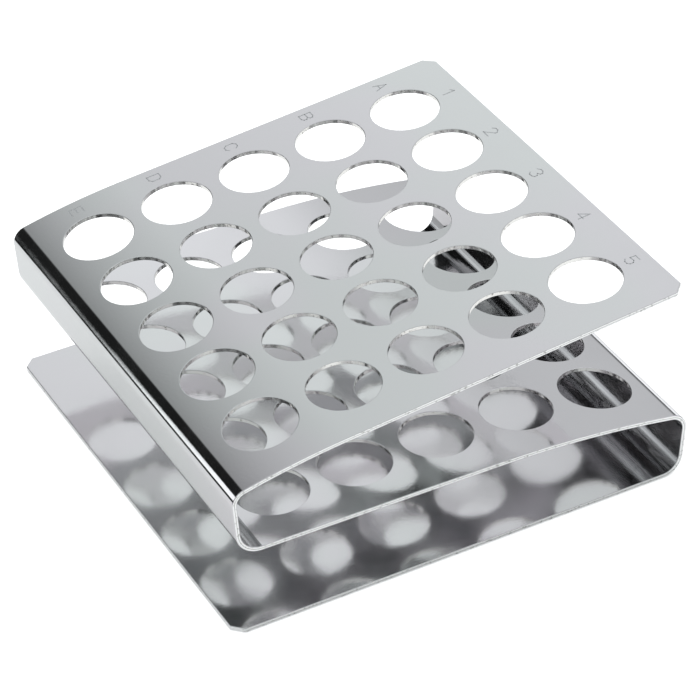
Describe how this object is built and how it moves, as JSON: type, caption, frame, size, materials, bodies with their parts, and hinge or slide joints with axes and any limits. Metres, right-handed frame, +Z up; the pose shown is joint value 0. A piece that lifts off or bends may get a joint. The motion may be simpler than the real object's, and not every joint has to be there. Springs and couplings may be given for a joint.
{
  "type": "test tube rack",
  "caption": "Test tube rack folded from one polished stainless sheet: a solid base with two perforated shelves above it that hold tubes upright.",
  "frame": {"origin": "under the middle of the bounding box, at table height", "axes": "+X along the sheet towards the free end of the top shelf, +Y across the sheet towards the side with the column letters, +Z up"},
  "size_m": [0.1238, 0.122, 0.0556],
  "materials": {
    "stainless": "polished stainless steel, almost a mirror"
  },
  "bodies": {
    "root": {"base_plate": "stainless", "right_lower_bend": "stainless", "right_web": "stainless", "right_upper_bend": "stainless", "middle_shelf": "stainless", "left_lower_bend": "stainless", "left_web": "stainless", "left_upper_bend": "stainless", "top_shelf": "stainless"}
  },
  "joints": []
}
